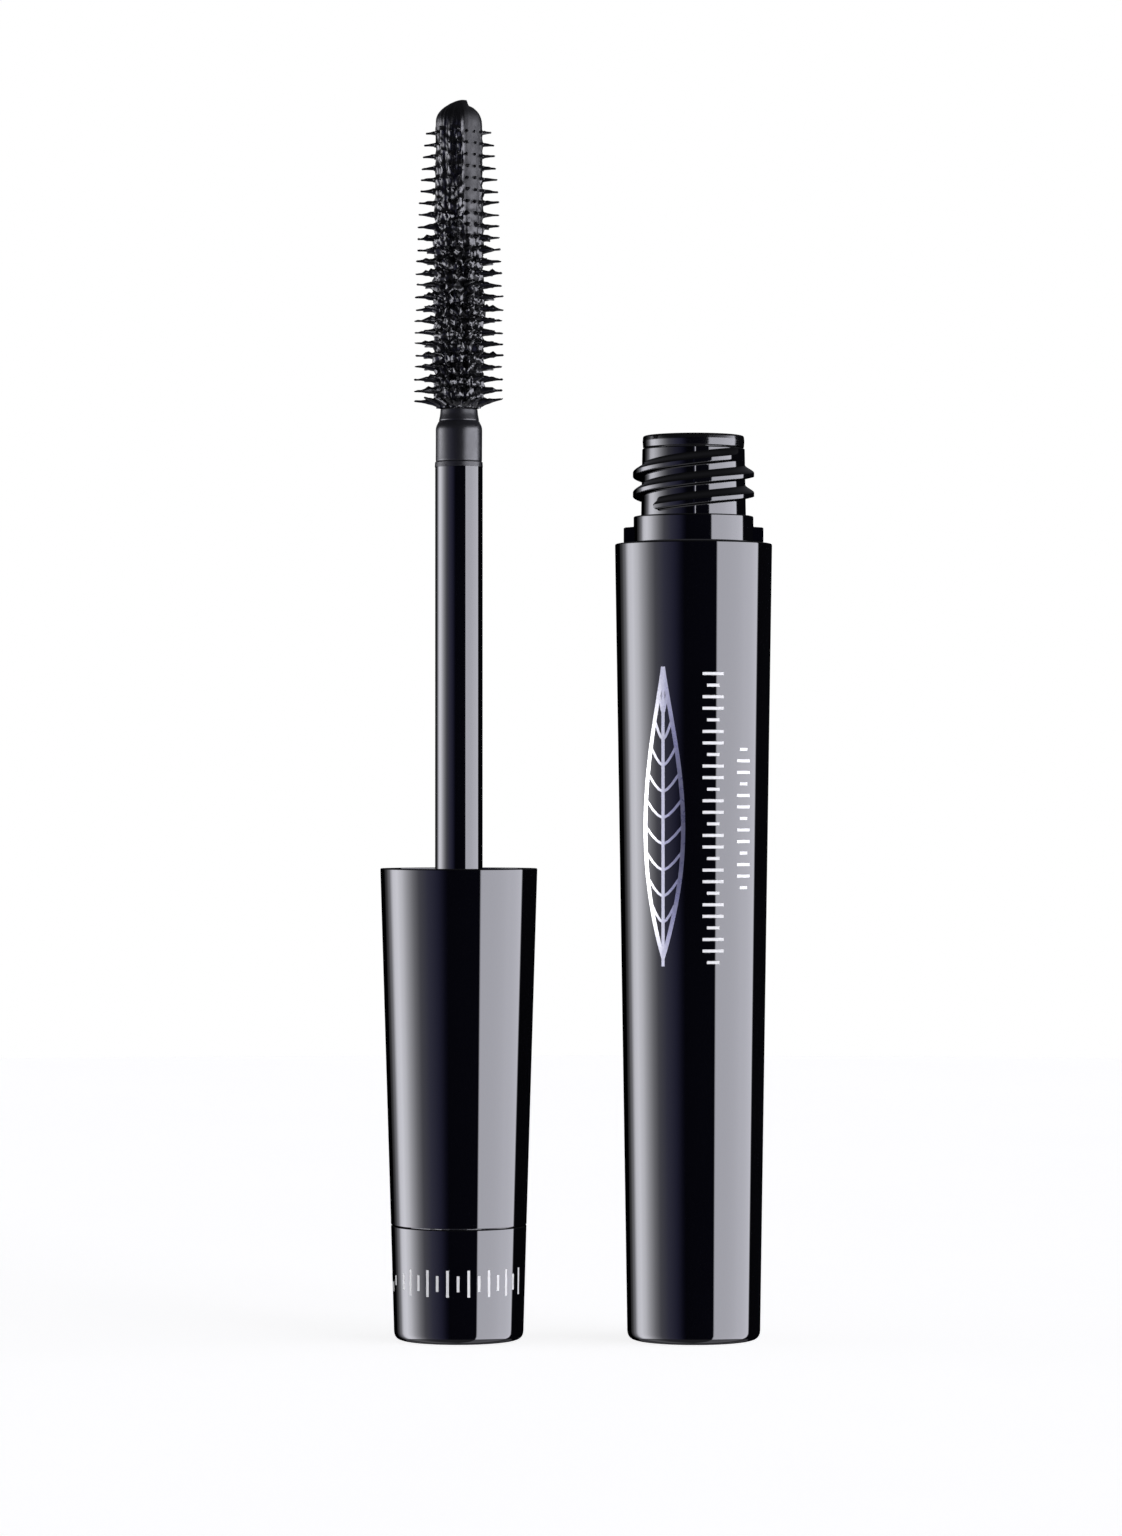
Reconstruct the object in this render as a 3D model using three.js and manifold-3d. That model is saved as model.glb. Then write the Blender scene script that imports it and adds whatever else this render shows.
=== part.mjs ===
// Mascara with a twist-adjustable brush: the bottle, and its applicator standing on the knob beside it.
// Millimetres, +Z up. The origin is the middle of the bottle's base. The applicator stands at -X.
import * as THREE from 'three';
import { mergeVertices } from 'three/addons/utils/BufferGeometryUtils.js';
import Module from 'manifold-3d';

const wasm = await Module();
wasm.setup();

// Bottle: a tapered outer sleeve over a plain vial, whose neck carries the thread.
const SLEEVE = { height: 80.9, baseRadius: 6.75, topRadius: 8.0, wall: 0.75, floor: 1.0, edge: 0.95 };
const VIAL = { floorHeight: 1.1, baseRadius: 5.6, topRadius: 7.1, wall: 0.95 };
const SHOULDER = { height: 76.5, rise: 2.0, setback: 0.3 };
const COLLAR = { radius: 6.1, top: 83.7, seat: 81.1 };
const LUG = { reach: 7.12, halfWidth: 1.1, top: 82.6 };
const NECK = { radius: 5.34, top: 90.6, bore: 4.4 };
const THREAD = { crest: 6.18, lead: 4.04, starts: 2, firstHeight: 84.5, firstAngle: 224 };
const NECK_RIDGE = { turns: 1.3, halfBase: 0.72, halfCrest: 0.26, runIn: 15, runOut: 40 };
const CAP_RIDGE = { turns: 1, halfBase: 0.45, halfCrest: 0.18, runIn: 30, runOut: 30 };
const RIDGE_ROOT = 0.12;
const LOWEST_RISE = 0.05;
const WIPER = { flangeRadius: 5.19, flangeTop: 91.9, tubeRadius: 4.25, tubeBore: 3.6, orifice: 2.52 };
const WIPER_END = { coneTop: 79.5, tip: 75.5, wall: 0.5 };

// Applicator: heights are measured from the flat end of the knob that it stands on.
const APPLICATOR_X = -23.9;
const CAP = { mouth: 47.9, mouthRadius: 8.0, endRadius: 6.54, seam: 11.65, edge: 0.9, seamGap: 0.3 };
const KNOB = { wall: 0.85, floor: 1.2, twist: 270 };
const WEB = { top: 13.4, hole: 3.25 };
const SHELL_BORE = { lower: 6.2, stepBase: 32.6, stepTop: 33.4, upper: 6.95 };
const RABBET = { radius: 7.35, depth: 2.0 };
const INNER_CAP = { base: 33.8, floorTop: 35.5, radius: 6.85, root: 6.35, crest: 5.62, top: 45.4 };
const GASKET = { base: 35.7, top: 36.8, bore: 2.95, radius: 5.9 };
const STEM = { radius: 2.42, bore: 1.15, base: 25.5, top: 88.8, flangeRadius: 4.6, flangeBase: 31.6 };
const SPIGOT = { radius: 1.62, top: 92.0 };
const SEAL = { middle: 1.36, section: 0.42, height: 26.9, pocketRadius: 1.92, pocketTop: 28.0 };
const HUB = { discRadius: 5.5, base: 1.4, discTop: 2.8, shaft: 2.9, top: 19.0, socketBase: 8.0 };
const STOP = { base: 13.6, top: 15.0, radius: 5.9, slotRadius: 4.6, toothSpan: 54 };
const STOP_LUG = { reach: 4.3, span: 30, play: 0.15 };
const CLIP = { base: 15.4, thickness: 0.6, radius: 4.5, grooveRadius: 2.3, opening: 60 };
const ROD = { radius: 0.8, base: 8.4, top: 123.9, keyHalf: 0.6, keyBase: 121.5, fit: 0.16 };

// Small reliefs: a corner broken off a lip, and the play between a stem or a lug and what is round it.
const LIP = 0.2;
const PLAY = 0.2;

// Brush: a hollow elastomer sleeve with rows of bristles, in rings that turn one after another.
const FERRULE = { base: 88.95, radius: 2.36, shoulder: 92.9, neckRadius: 1.93, neckBase: 93.4, top: 94.65 };
const BRUSH = { core: 2.3, bore: 1.0, rings: 6, rowsPerRing: 4, rowSpacing: 1.195, firstRow: 95.35 };
const BRISTLE = { longest: 4.53, taper: 1.17, taperStart: 105.5, thickness: 0.42 };
const COLUMNS = { count: 8, footSpan: 11, shortShare: 0.55 };
const NOSE = { base: 123.55, top: 126.0, radius: 2.15, socketTop: 124.1, straight: 0.4 };
const RING_GAP = 0.16;

const SIDES = 36;
const SLIM_SIDES = 20;
const THREAD_STEPS = 20;

const radians = THREE.MathUtils.degToRad;

function material(color, roughness, metalness = 0) {
  return new THREE.MeshStandardMaterial({ color, roughness, metalness });
}

const GLOSS_BLACK = 0x08080b;
const MOULDED_BLACK = 0x111114;
const BRUSH_BLACK = 0x0a0a0b;

// A solid of revolution about Z, from an outline of [radius, height] points.
function turned(outline, sides = SIDES) {
  const points = outline.map(([radius, height]) => new THREE.Vector2(radius, height));
  return new THREE.LatheGeometry(points, sides).rotateX(Math.PI / 2);
}

// Points of a quarter round between a flat end and the side wall above it.
function roundedEdge(sideRadius, endHeight, size, steps = 4) {
  const points = [];
  for (let step = 0; step <= steps; step += 1) {
    const angle = (step / steps) * (Math.PI / 2);
    points.push([sideRadius - size + size * Math.sin(angle), endHeight + size - size * Math.cos(angle)]);
  }
  return points;
}

// A straight extrusion along +Z of a flat outline of [x, y] points.
function extruded(outline, base, height) {
  const shape = new THREE.Shape(outline.map(([x, y]) => new THREE.Vector2(x, y)));
  return new THREE.ExtrudeGeometry(shape, { depth: height, bevelEnabled: false }).translate(0, 0, base);
}

// The [x, y] point at a radius and an angle in degrees.
function polar(radius, angle) {
  return [radius * Math.cos(radians(angle)), radius * Math.sin(radians(angle))];
}

// Points along an arc, angles in degrees.
function arc(radius, from, to, steps) {
  const points = [];
  for (let step = 0; step <= steps; step += 1) {
    points.push(polar(radius, from + ((to - from) * step) / steps));
  }
  return points;
}

function toSolid(geometry) {
  const bare = geometry.clone();
  bare.deleteAttribute('normal');
  bare.deleteAttribute('uv');
  const merged = mergeVertices(bare, 1e-4);
  const corners = merged.index.array;
  const kept = [];
  for (let i = 0; i < corners.length; i += 3) {
    const [a, b, c] = [corners[i], corners[i + 1], corners[i + 2]];
    if (a !== b && b !== c && c !== a) kept.push(a, b, c);
  }
  const vertProperties = new Float32Array(merged.attributes.position.array);
  return new wasm.Manifold(new wasm.Mesh({ numProp: 3, vertProperties, triVerts: new Uint32Array(kept) }));
}

function toGeometry(solid) {
  const mesh = solid.getMesh();
  const geometry = new THREE.BufferGeometry();
  geometry.setAttribute('position', new THREE.BufferAttribute(mesh.vertProperties, 3));
  geometry.setIndex(new THREE.BufferAttribute(mesh.triVerts, 1));
  geometry.computeVertexNormals();
  return geometry;
}

function joined(first, ...others) {
  return toGeometry(others.reduce((solid, next) => solid.add(toSolid(next)), toSolid(first)));
}

function cutBy(body, ...tools) {
  return toGeometry(tools.reduce((solid, tool) => solid.subtract(toSolid(tool)), toSolid(body)));
}

// One helical ridge on a round wall. Its ends sink into the wall over a short run.
function threadRidge(place, { turns, halfBase, halfCrest, runIn, runOut }) {
  const { wallRadius, crestRadius, height, angle } = place;
  const inward = Math.sign(wallRadius - crestRadius);
  const buried = wallRadius + inward * RIDGE_ROOT;
  const sections = Math.round(turns * THREAD_STEPS);
  const positions = [];
  for (let i = 0; i <= sections; i += 1) {
    const swept = (i / sections) * turns * 360;
    const rise = Math.min(1, swept / runIn, (turns * 360 - swept) / runOut);
    const crest = buried + (crestRadius - buried) * Math.max(rise, LOWEST_RISE);
    const middle = height + (swept / 360) * THREAD.lead;
    const direction = radians(angle + swept);
    const profile = [[buried, -halfBase], [crest, -halfCrest], [crest, halfCrest], [buried, halfBase]];
    for (const [radius, offset] of profile) {
      positions.push(radius * Math.cos(direction), radius * Math.sin(direction), middle + offset);
    }
  }
  const indices = [];
  for (let i = 0; i < sections; i += 1) {
    for (let j = 0; j < 4; j += 1) {
      const a = i * 4 + j;
      const b = i * 4 + ((j + 1) % 4);
      indices.push(a, a + 4, b, b, a + 4, b + 4);
    }
  }
  const last = sections * 4;
  indices.push(0, 1, 2, 0, 2, 3, last, last + 2, last + 1, last, last + 3, last + 2);
  if (inward > 0) indices.reverse();
  const geometry = new THREE.BufferGeometry();
  geometry.setAttribute('position', new THREE.Float32BufferAttribute(positions, 3));
  geometry.setIndex(indices);
  return geometry;
}

// The radius of the applicator's smooth outer taper at a height above the knob's end.
function capRadius(height) {
  return CAP.endRadius + ((CAP.mouthRadius - CAP.endRadius) * height) / CAP.mouth;
}

function sleeveGeometry() {
  const innerTop = SLEEVE.topRadius - SLEEVE.wall;
  const innerBase = SLEEVE.baseRadius - SLEEVE.wall;
  return turned([
    [0, 0],
    ...roundedEdge(SLEEVE.baseRadius, 0, SLEEVE.edge),
    [SLEEVE.topRadius, SLEEVE.height - LIP],
    [SLEEVE.topRadius - LIP, SLEEVE.height],
    [innerTop, SLEEVE.height],
    [innerBase, SLEEVE.floor],
    [0, SLEEVE.floor],
  ]);
}

function neckThreads() {
  const ridges = [];
  for (let start = 0; start < THREAD.starts; start += 1) {
    const angle = THREAD.firstAngle + (start * 360) / THREAD.starts;
    const place = { wallRadius: NECK.radius, crestRadius: THREAD.crest, height: THREAD.firstHeight, angle };
    ridges.push(threadRidge(place, NECK_RIDGE));
  }
  return ridges;
}

// One of the two small lugs at the foot of the neck, rooted in the collar.
function lug(angle) {
  const half = THREE.MathUtils.radToDeg(Math.asin(LUG.halfWidth / LUG.reach));
  const root = COLLAR.radius - 0.4;
  const outline = [...arc(LUG.reach, -half, half, 4), [root, LUG.halfWidth], [root, -LUG.halfWidth]];
  return extruded(outline, COLLAR.seat, LUG.top - COLLAR.seat).rotateZ(radians(angle));
}

function vialGeometry() {
  const boreTop = VIAL.topRadius - VIAL.wall;
  const boreBase = VIAL.baseRadius - VIAL.wall;
  const body = turned([
    [0, VIAL.floorHeight],
    [VIAL.baseRadius, VIAL.floorHeight],
    [VIAL.topRadius, SLEEVE.height - 0.1],
    [COLLAR.radius, COLLAR.seat],
    [COLLAR.radius, COLLAR.top],
    [NECK.radius, COLLAR.top],
    [NECK.radius, NECK.top],
    [NECK.bore, NECK.top],
    [NECK.bore, SHOULDER.height + SHOULDER.rise],
    [boreTop - SHOULDER.setback, SHOULDER.height],
    [boreBase, VIAL.floorHeight + VIAL.wall],
    [0, VIAL.floorHeight + VIAL.wall],
  ]);
  return joined(body, ...neckThreads(), lug(0), lug(180));
}

function wiperGeometry() {
  return turned([
    [WIPER.orifice, WIPER_END.tip],
    [WIPER.orifice + WIPER_END.wall, WIPER_END.tip],
    [WIPER.tubeRadius, WIPER_END.coneTop],
    [WIPER.tubeRadius, NECK.top + 0.1],
    [WIPER.flangeRadius, NECK.top + 0.1],
    [WIPER.flangeRadius, WIPER.flangeTop],
    [WIPER.tubeBore + 0.3, WIPER.flangeTop],
    [WIPER.tubeBore, WIPER.flangeTop - 0.5],
    [WIPER.tubeBore, WIPER_END.coneTop],
    [WIPER.orifice, WIPER_END.tip],
  ]);
}

function knobGeometry() {
  const top = CAP.seam - CAP.seamGap / 2;
  return turned([
    [0, 0],
    ...roundedEdge(capRadius(CAP.edge), 0, CAP.edge),
    [capRadius(top), top],
    [capRadius(top) - KNOB.wall, top],
    [capRadius(0) - KNOB.wall, KNOB.floor],
    [0, KNOB.floor],
  ]);
}

function lathedHub() {
  const grooveBase = CLIP.base - 0.1;
  const grooveTop = CLIP.base + CLIP.thickness + 0.1;
  return turned([
    [0, HUB.base],
    [HUB.discRadius, HUB.base],
    [HUB.discRadius, HUB.discTop],
    [HUB.shaft, HUB.discTop],
    [HUB.shaft, grooveBase],
    [CLIP.grooveRadius, grooveBase],
    [CLIP.grooveRadius, grooveTop],
    [HUB.shaft, grooveTop],
    [HUB.shaft, HUB.top],
    [ROD.radius + ROD.fit, HUB.top],
    [ROD.radius + ROD.fit, HUB.socketBase],
    [0, HUB.socketBase],
  ], SLIM_SIDES);
}

// The stop lug points away from the tooth of the stop ring by half the knob's turn at rest.
function hubGeometry() {
  const lugRoot = HUB.shaft - 0.3;
  const half = STOP_LUG.span / 2;
  const outline = [...arc(STOP_LUG.reach, -half, half, 5), ...arc(lugRoot, half, -half, 5)];
  const height = STOP.top - STOP.base - 2 * STOP_LUG.play;
  const stopLug = extruded(outline, STOP.base + STOP_LUG.play, height);
  return joined(lathedHub(), stopLug.rotateZ(radians(lugRestAngle())));
}

// The lug rests a few degrees clear of the tooth, and turns clockwise seen from the brush.
function lugRestAngle() {
  const spare = (360 - STOP_LUG.span - STOP.toothSpan - KNOB.twist) / 2;
  return -(STOP.toothSpan / 2 + STOP_LUG.span / 2 + spare);
}

function stopRingGeometry() {
  const ring = turned([
    [STOP.slotRadius, STOP.base],
    [STOP.radius, STOP.base],
    [STOP.radius, STOP.top],
    [STOP.slotRadius, STOP.top],
    [STOP.slotRadius, STOP.base],
  ]);
  const half = STOP.toothSpan / 2;
  const tooth = [...arc(STOP.slotRadius + 0.4, -half, half, 6), ...arc(HUB.shaft + 0.35, half, -half, 6)];
  return joined(ring, extruded(tooth, STOP.base, STOP.top - STOP.base));
}

function clipGeometry() {
  const half = CLIP.opening / 2;
  const bore = CLIP.grooveRadius + 0.15;
  const outline = [...arc(CLIP.radius, half, 360 - half, 24), ...arc(bore, 360 - half, half, 24)];
  return extruded(outline, CLIP.base, CLIP.thickness);
}

function rodGeometry() {
  const shaft = turned([[0, ROD.base], [ROD.radius, ROD.base], [ROD.radius, ROD.top], [0, ROD.top]], 12);
  const side = ROD.keyHalf;
  const wide = ROD.radius * 2;
  const flats = [
    extruded([[-wide, side], [wide, side], [wide, wide], [-wide, wide]], ROD.keyBase, ROD.top),
    extruded([[-wide, -wide], [wide, -wide], [wide, -side], [-wide, -side]], ROD.keyBase, ROD.top),
  ];
  return cutBy(shaft, ...flats);
}

function shellGeometry() {
  const base = CAP.seam + CAP.seamGap / 2;
  return turned([
    [WEB.hole, base],
    [capRadius(base), base],
    [capRadius(CAP.mouth - LIP), CAP.mouth - LIP],
    [CAP.mouthRadius - LIP, CAP.mouth],
    [RABBET.radius, CAP.mouth],
    [RABBET.radius, CAP.mouth - RABBET.depth],
    [SHELL_BORE.upper, CAP.mouth - RABBET.depth - 0.3],
    [SHELL_BORE.upper, SHELL_BORE.stepTop],
    [SHELL_BORE.lower, SHELL_BORE.stepBase],
    [SHELL_BORE.lower, WEB.top],
    [WEB.hole, WEB.top],
    [WEB.hole, base],
  ]);
}

// Height of the neck's thread at an angle, once the cap is screwed home over it.
function capThreadHeight() {
  const closedLength = SLEEVE.height + CAP.mouth;
  const pitch = THREAD.lead / THREAD.starts;
  const neckHeight = THREAD.firstHeight + (THREAD.lead * (180 - THREAD.firstAngle)) / 360;
  let height = closedLength - neckHeight - pitch / 2;
  while (height > INNER_CAP.floorTop + 4.5) height -= pitch;
  return height;
}

function innerCapGeometry() {
  const hole = STEM.radius + PLAY;
  const cup = turned([
    [hole, INNER_CAP.base],
    [INNER_CAP.radius, INNER_CAP.base],
    [INNER_CAP.radius, INNER_CAP.top],
    [INNER_CAP.root, INNER_CAP.top],
    [INNER_CAP.root, INNER_CAP.floorTop],
    [hole, INNER_CAP.floorTop],
    [hole, INNER_CAP.base],
  ]);
  const ridges = [];
  for (let start = 0; start < THREAD.starts; start += 1) {
    const angle = (start * 360) / THREAD.starts;
    const height = capThreadHeight();
    const place = { wallRadius: INNER_CAP.root, crestRadius: INNER_CAP.crest, height, angle };
    ridges.push(threadRidge(place, CAP_RIDGE));
  }
  return joined(cup, ...ridges);
}

function gasketGeometry() {
  return turned([
    [GASKET.bore, GASKET.base],
    [GASKET.radius, GASKET.base],
    [GASKET.radius, GASKET.top],
    [GASKET.bore, GASKET.top],
    [GASKET.bore, GASKET.base],
  ]);
}

function stemGeometry() {
  const flangeTop = INNER_CAP.base - 0.3;
  return turned([
    [SEAL.pocketRadius, STEM.base],
    [STEM.radius, STEM.base],
    [STEM.radius, STEM.flangeBase],
    [STEM.flangeRadius, STEM.flangeBase],
    [STEM.flangeRadius, flangeTop],
    [STEM.radius, flangeTop],
    [STEM.radius, STEM.top],
    [SPIGOT.radius, STEM.top],
    [SPIGOT.radius, SPIGOT.top],
    [STEM.bore, SPIGOT.top],
    [STEM.bore, SEAL.pocketTop],
    [SEAL.pocketRadius, SEAL.pocketTop],
    [SEAL.pocketRadius, STEM.base],
  ], SLIM_SIDES);
}

function sealGeometry() {
  const outline = [];
  const steps = 10;
  for (let step = 0; step <= steps; step += 1) {
    const angle = ((step % steps) / steps) * Math.PI * 2;
    const radius = SEAL.middle + SEAL.section * Math.cos(angle);
    outline.push([radius, SEAL.height + SEAL.section * Math.sin(angle)]);
  }
  return turned(outline, SLIM_SIDES);
}

function ferruleGeometry() {
  const grip = SPIGOT.radius + 0.12;
  return turned([
    [grip, FERRULE.base],
    [FERRULE.radius, FERRULE.base],
    [FERRULE.radius, FERRULE.shoulder],
    [FERRULE.neckRadius, FERRULE.neckBase],
    [FERRULE.neckRadius, FERRULE.top],
    [BRUSH.bore, FERRULE.top],
    [BRUSH.bore, SPIGOT.top + PLAY],
    [grip, SPIGOT.top + PLAY],
    [grip, FERRULE.base],
  ], SLIM_SIDES);
}

// How far the longest bristles reach at a height: full length low down, shorter towards the nose.
function bristleReach(height) {
  const top = BRUSH.firstRow + (BRUSH.rings * BRUSH.rowsPerRing - 1) * BRUSH.rowSpacing;
  const t = Math.max(0, (height - BRISTLE.taperStart) / (top - BRISTLE.taperStart));
  return BRISTLE.longest - BRISTLE.taper * (0.6 * t + 0.4 * t ** 6);
}

// A level loop round the brush: two feet and one point to each column of bristles.
function brushLoop(height, footRadius, pointRadius) {
  const loop = [];
  const step = 360 / COLUMNS.count;
  for (let column = 0; column < COLUMNS.count; column += 1) {
    const middle = column * step;
    loop.push([...polar(footRadius, middle - COLUMNS.footSpan), height]);
    loop.push([...polar(pointRadius(column), middle), height]);
    loop.push([...polar(footRadius, middle + COLUMNS.footSpan), height]);
  }
  return loop;
}

// The loops of one row of bristles, from the core out to the points and back to the core.
function bristleRow(height) {
  const half = BRISTLE.thickness / 2;
  const reach = bristleReach(height);
  const shorter = BRUSH.core + (reach - BRUSH.core) * COLUMNS.shortShare;
  const point = (column) => (column % 2 === 0 ? reach : shorter);
  const core = () => BRUSH.core;
  return [
    brushLoop(height - half, BRUSH.core, core),
    brushLoop(height - half, BRUSH.core, point),
    brushLoop(height + half, BRUSH.core, point),
    brushLoop(height + half, BRUSH.core, core),
  ];
}

// A ring-shaped body through level loops of equal length. The last loop joins the first again.
function lofted(loops) {
  const size = loops[0].length;
  const indices = [];
  for (let level = 0; level < loops.length; level += 1) {
    const next = (level + 1) % loops.length;
    for (let i = 0; i < size; i += 1) {
      const j = (i + 1) % size;
      const [a, b, c, d] = [level * size + i, level * size + j, next * size + j, next * size + i];
      indices.push(a, b, c, a, c, d);
    }
  }
  const geometry = new THREE.BufferGeometry();
  geometry.setAttribute('position', new THREE.Float32BufferAttribute(loops.flat(2), 3));
  geometry.setIndex(indices);
  return toGeometry(toSolid(geometry));
}

function brushRingGeometry(ring) {
  const pitch = BRUSH.rowsPerRing * BRUSH.rowSpacing;
  const base = BRUSH.firstRow - BRUSH.rowSpacing / 2 + ring * pitch + RING_GAP / 2;
  const top = base + pitch - RING_GAP;
  const bore = () => BRUSH.bore;
  const core = () => BRUSH.core;
  const rows = [];
  for (let row = 0; row < BRUSH.rowsPerRing; row += 1) {
    rows.push(...bristleRow(BRUSH.firstRow + (ring * BRUSH.rowsPerRing + row) * BRUSH.rowSpacing));
  }
  return lofted([
    brushLoop(base, BRUSH.bore, bore),
    brushLoop(base, BRUSH.core, core),
    ...rows,
    brushLoop(top, BRUSH.core, core),
    brushLoop(top, BRUSH.bore, bore),
  ]);
}

// The rounded nose that closes the brush, with the blind socket that the rod's flats turn.
function noseGeometry() {
  const domeBase = NOSE.base + NOSE.straight;
  const dome = [];
  const steps = 6;
  for (let step = 0; step < steps; step += 1) {
    const angle = (step / steps) * (Math.PI / 2);
    dome.push([NOSE.radius * Math.cos(angle), domeBase + (NOSE.top - domeBase) * Math.sin(angle)]);
  }
  return turned([
    [0, NOSE.socketTop],
    [BRUSH.bore, NOSE.socketTop],
    [BRUSH.bore, NOSE.base],
    [NOSE.radius, NOSE.base],
    ...dome,
    [0, NOSE.top],
  ], SLIM_SIDES);
}

function part(name, geometry, finish) {
  const mesh = new THREE.Mesh(geometry, finish);
  mesh.name = name;
  return mesh;
}

function bottle() {
  const group = new THREE.Group();
  group.add(
    part('bottle_sleeve', sleeveGeometry(), material(GLOSS_BLACK, 0.05)),
    part('vial', vialGeometry(), material(GLOSS_BLACK, 0.12)),
    part('wiper', wiperGeometry(), material(MOULDED_BLACK, 0.3)),
  );
  return group;
}

function applicator() {
  const group = new THREE.Group();
  group.position.x = APPLICATOR_X;
  group.add(
    part('twist_knob', knobGeometry(), material(GLOSS_BLACK, 0.05)),
    part('knob_hub', hubGeometry(), material(MOULDED_BLACK, 0.45)),
    part('retaining_clip', clipGeometry(), material(0xb8b8bc, 0.3, 1)),
    part('drive_rod', rodGeometry(), material(0xb0b0b4, 0.35, 1)),
    part('cap_shell', shellGeometry(), material(GLOSS_BLACK, 0.05)),
    part('stop_ring', stopRingGeometry(), material(MOULDED_BLACK, 0.5)),
    part('inner_cap', innerCapGeometry(), material(MOULDED_BLACK, 0.4)),
    part('cap_gasket', gasketGeometry(), material(0xd8d6d0, 0.7)),
    part('stem', stemGeometry(), material(GLOSS_BLACK, 0.08)),
    part('rod_seal', sealGeometry(), material(0x2a2a2c, 0.8)),
    part('brush_ferrule', ferruleGeometry(), material(0x2e2e31, 0.75)),
  );
  for (let ring = 0; ring < BRUSH.rings; ring += 1) {
    group.add(part(`brush_ring_${ring + 1}`, brushRingGeometry(ring), material(BRUSH_BLACK, 0.35)));
  }
  group.add(part('brush_tip', noseGeometry(), material(BRUSH_BLACK, 0.3)));
  return group;
}

const mascara = new THREE.Group();
mascara.add(bottle(), applicator());

export default mascara;
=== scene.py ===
import math
import random

import bmesh
import bpy
import numpy as np
from mathutils import Matrix, Vector, noise


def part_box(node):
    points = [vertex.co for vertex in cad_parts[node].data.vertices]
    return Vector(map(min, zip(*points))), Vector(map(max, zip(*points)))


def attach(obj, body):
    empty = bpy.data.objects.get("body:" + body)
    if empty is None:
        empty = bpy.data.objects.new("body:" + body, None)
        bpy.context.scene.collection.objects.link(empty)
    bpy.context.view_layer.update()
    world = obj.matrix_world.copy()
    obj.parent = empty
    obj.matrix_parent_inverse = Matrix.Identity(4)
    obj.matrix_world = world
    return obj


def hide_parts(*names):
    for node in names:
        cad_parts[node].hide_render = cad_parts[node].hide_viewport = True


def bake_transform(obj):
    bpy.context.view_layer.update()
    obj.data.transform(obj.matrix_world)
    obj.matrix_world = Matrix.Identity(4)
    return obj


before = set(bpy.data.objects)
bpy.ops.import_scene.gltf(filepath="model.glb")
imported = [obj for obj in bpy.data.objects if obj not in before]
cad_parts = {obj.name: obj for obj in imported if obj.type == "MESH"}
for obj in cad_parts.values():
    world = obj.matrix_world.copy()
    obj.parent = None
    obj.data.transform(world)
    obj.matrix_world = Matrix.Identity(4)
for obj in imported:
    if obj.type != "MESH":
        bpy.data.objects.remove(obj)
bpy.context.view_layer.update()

# ---------------------------------------------------------------------------------------------
# Bottle sleeve. The long tapered outer tube, injection moulded in black plastic in a mirror-polished
# tool. Its foot is rounded, its open top has a fine soft lip, and the vial is pressed down into it.

# Sizes are in mm. A moulded corner is rounded by the last number of its place in an outline.
MM = 0.001
ROUND_STEPS = 6
ROUND_SUPPORT = 1.5
CRISP = 0.08
EASED = 0.1
SOFT_LIP = 0.16


def softened(corners, closed=False):
    """Outline points from (radius, height, round) corners, in mm, each rounded by a short curve.

    One more point on either side of a round keeps the shading of the straight walls flat.
    """
    outline = []
    last = len(corners) - 1
    for i, (radius, height, size) in enumerate(corners):
        corner = np.array((radius, height))
        if size == 0 or (not closed and i in (0, last)):
            outline.append(tuple(corner))
            continue
        before = np.array(corners[i - 1][:2]) - corner
        after = np.array(corners[(i + 1) % len(corners)][:2]) - corner
        before = before / np.linalg.norm(before) * size
        after = after / np.linalg.norm(after) * size
        outline.append(tuple(corner + before * ROUND_SUPPORT))
        for step in range(ROUND_STEPS + 1):
            t = step / ROUND_STEPS
            outline.append(tuple(corner + before * (1 - t) ** 2 + after * t ** 2))
        outline.append(tuple(corner + after * ROUND_SUPPORT))
    return outline


def solid(name, points, faces, crease=35):
    """A mesh object from points in mm, shaded smooth but for edges sharper than the crease angle."""
    mesh = bpy.data.meshes.new(name)
    mesh.from_pydata((np.array(points) * MM).tolist(), [], faces)
    work = bmesh.new()
    work.from_mesh(mesh)
    bmesh.ops.recalc_face_normals(work, faces=work.faces)
    work.to_mesh(mesh)
    work.free()
    mesh.polygons.foreach_set("use_smooth", [True] * len(mesh.polygons))
    mesh.set_sharp_from_angle(angle=math.radians(crease))
    piece = bpy.data.objects.new(name, mesh)
    bpy.context.scene.collection.objects.link(piece)
    return piece


def turned_parts(outline, x=0.0, sides=144, closed=False, relief=None):
    """Points and faces of a solid of revolution. relief(radius, azimuth, height) moves its wall."""
    points = []
    rows = []
    for radius, height in outline:
        spots = sides if radius > 0 else 1
        rows.append(range(len(points), len(points) + spots))
        for k in range(spots):
            azimuth = 2 * math.pi * k / sides
            reach = relief(radius, azimuth, height) if relief else radius
            points.append((x + reach * math.cos(azimuth), reach * math.sin(azimuth), height))
    pairs = list(zip(rows, rows[1:]))
    if closed:
        pairs.append((rows[-1], rows[0]))
    faces = []
    for low, high in pairs:
        for k in range(sides):
            j = (k + 1) % sides
            corners = (low[k % len(low)], low[j % len(low)], high[j % len(high)], high[k % len(high)])
            faces.append(list(dict.fromkeys(corners)))
    return points, faces


def turned(name, outline, x=0.0, sides=144, closed=False, relief=None):
    """A solid of revolution as an object."""
    points, faces = turned_parts(outline, x, sides, closed, relief)
    return solid(name, points, faces)


# The grain that carries a finish's colour, and the broader smudges that carry its roughness.
GRAIN_DETAIL = 6
SMUDGE_SIZE = 5
SMUDGE_DETAIL = 8
SMUDGE_ROUGHNESS = 0.7
SMUDGE_SPAN = (0.35, 0.7)


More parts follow.
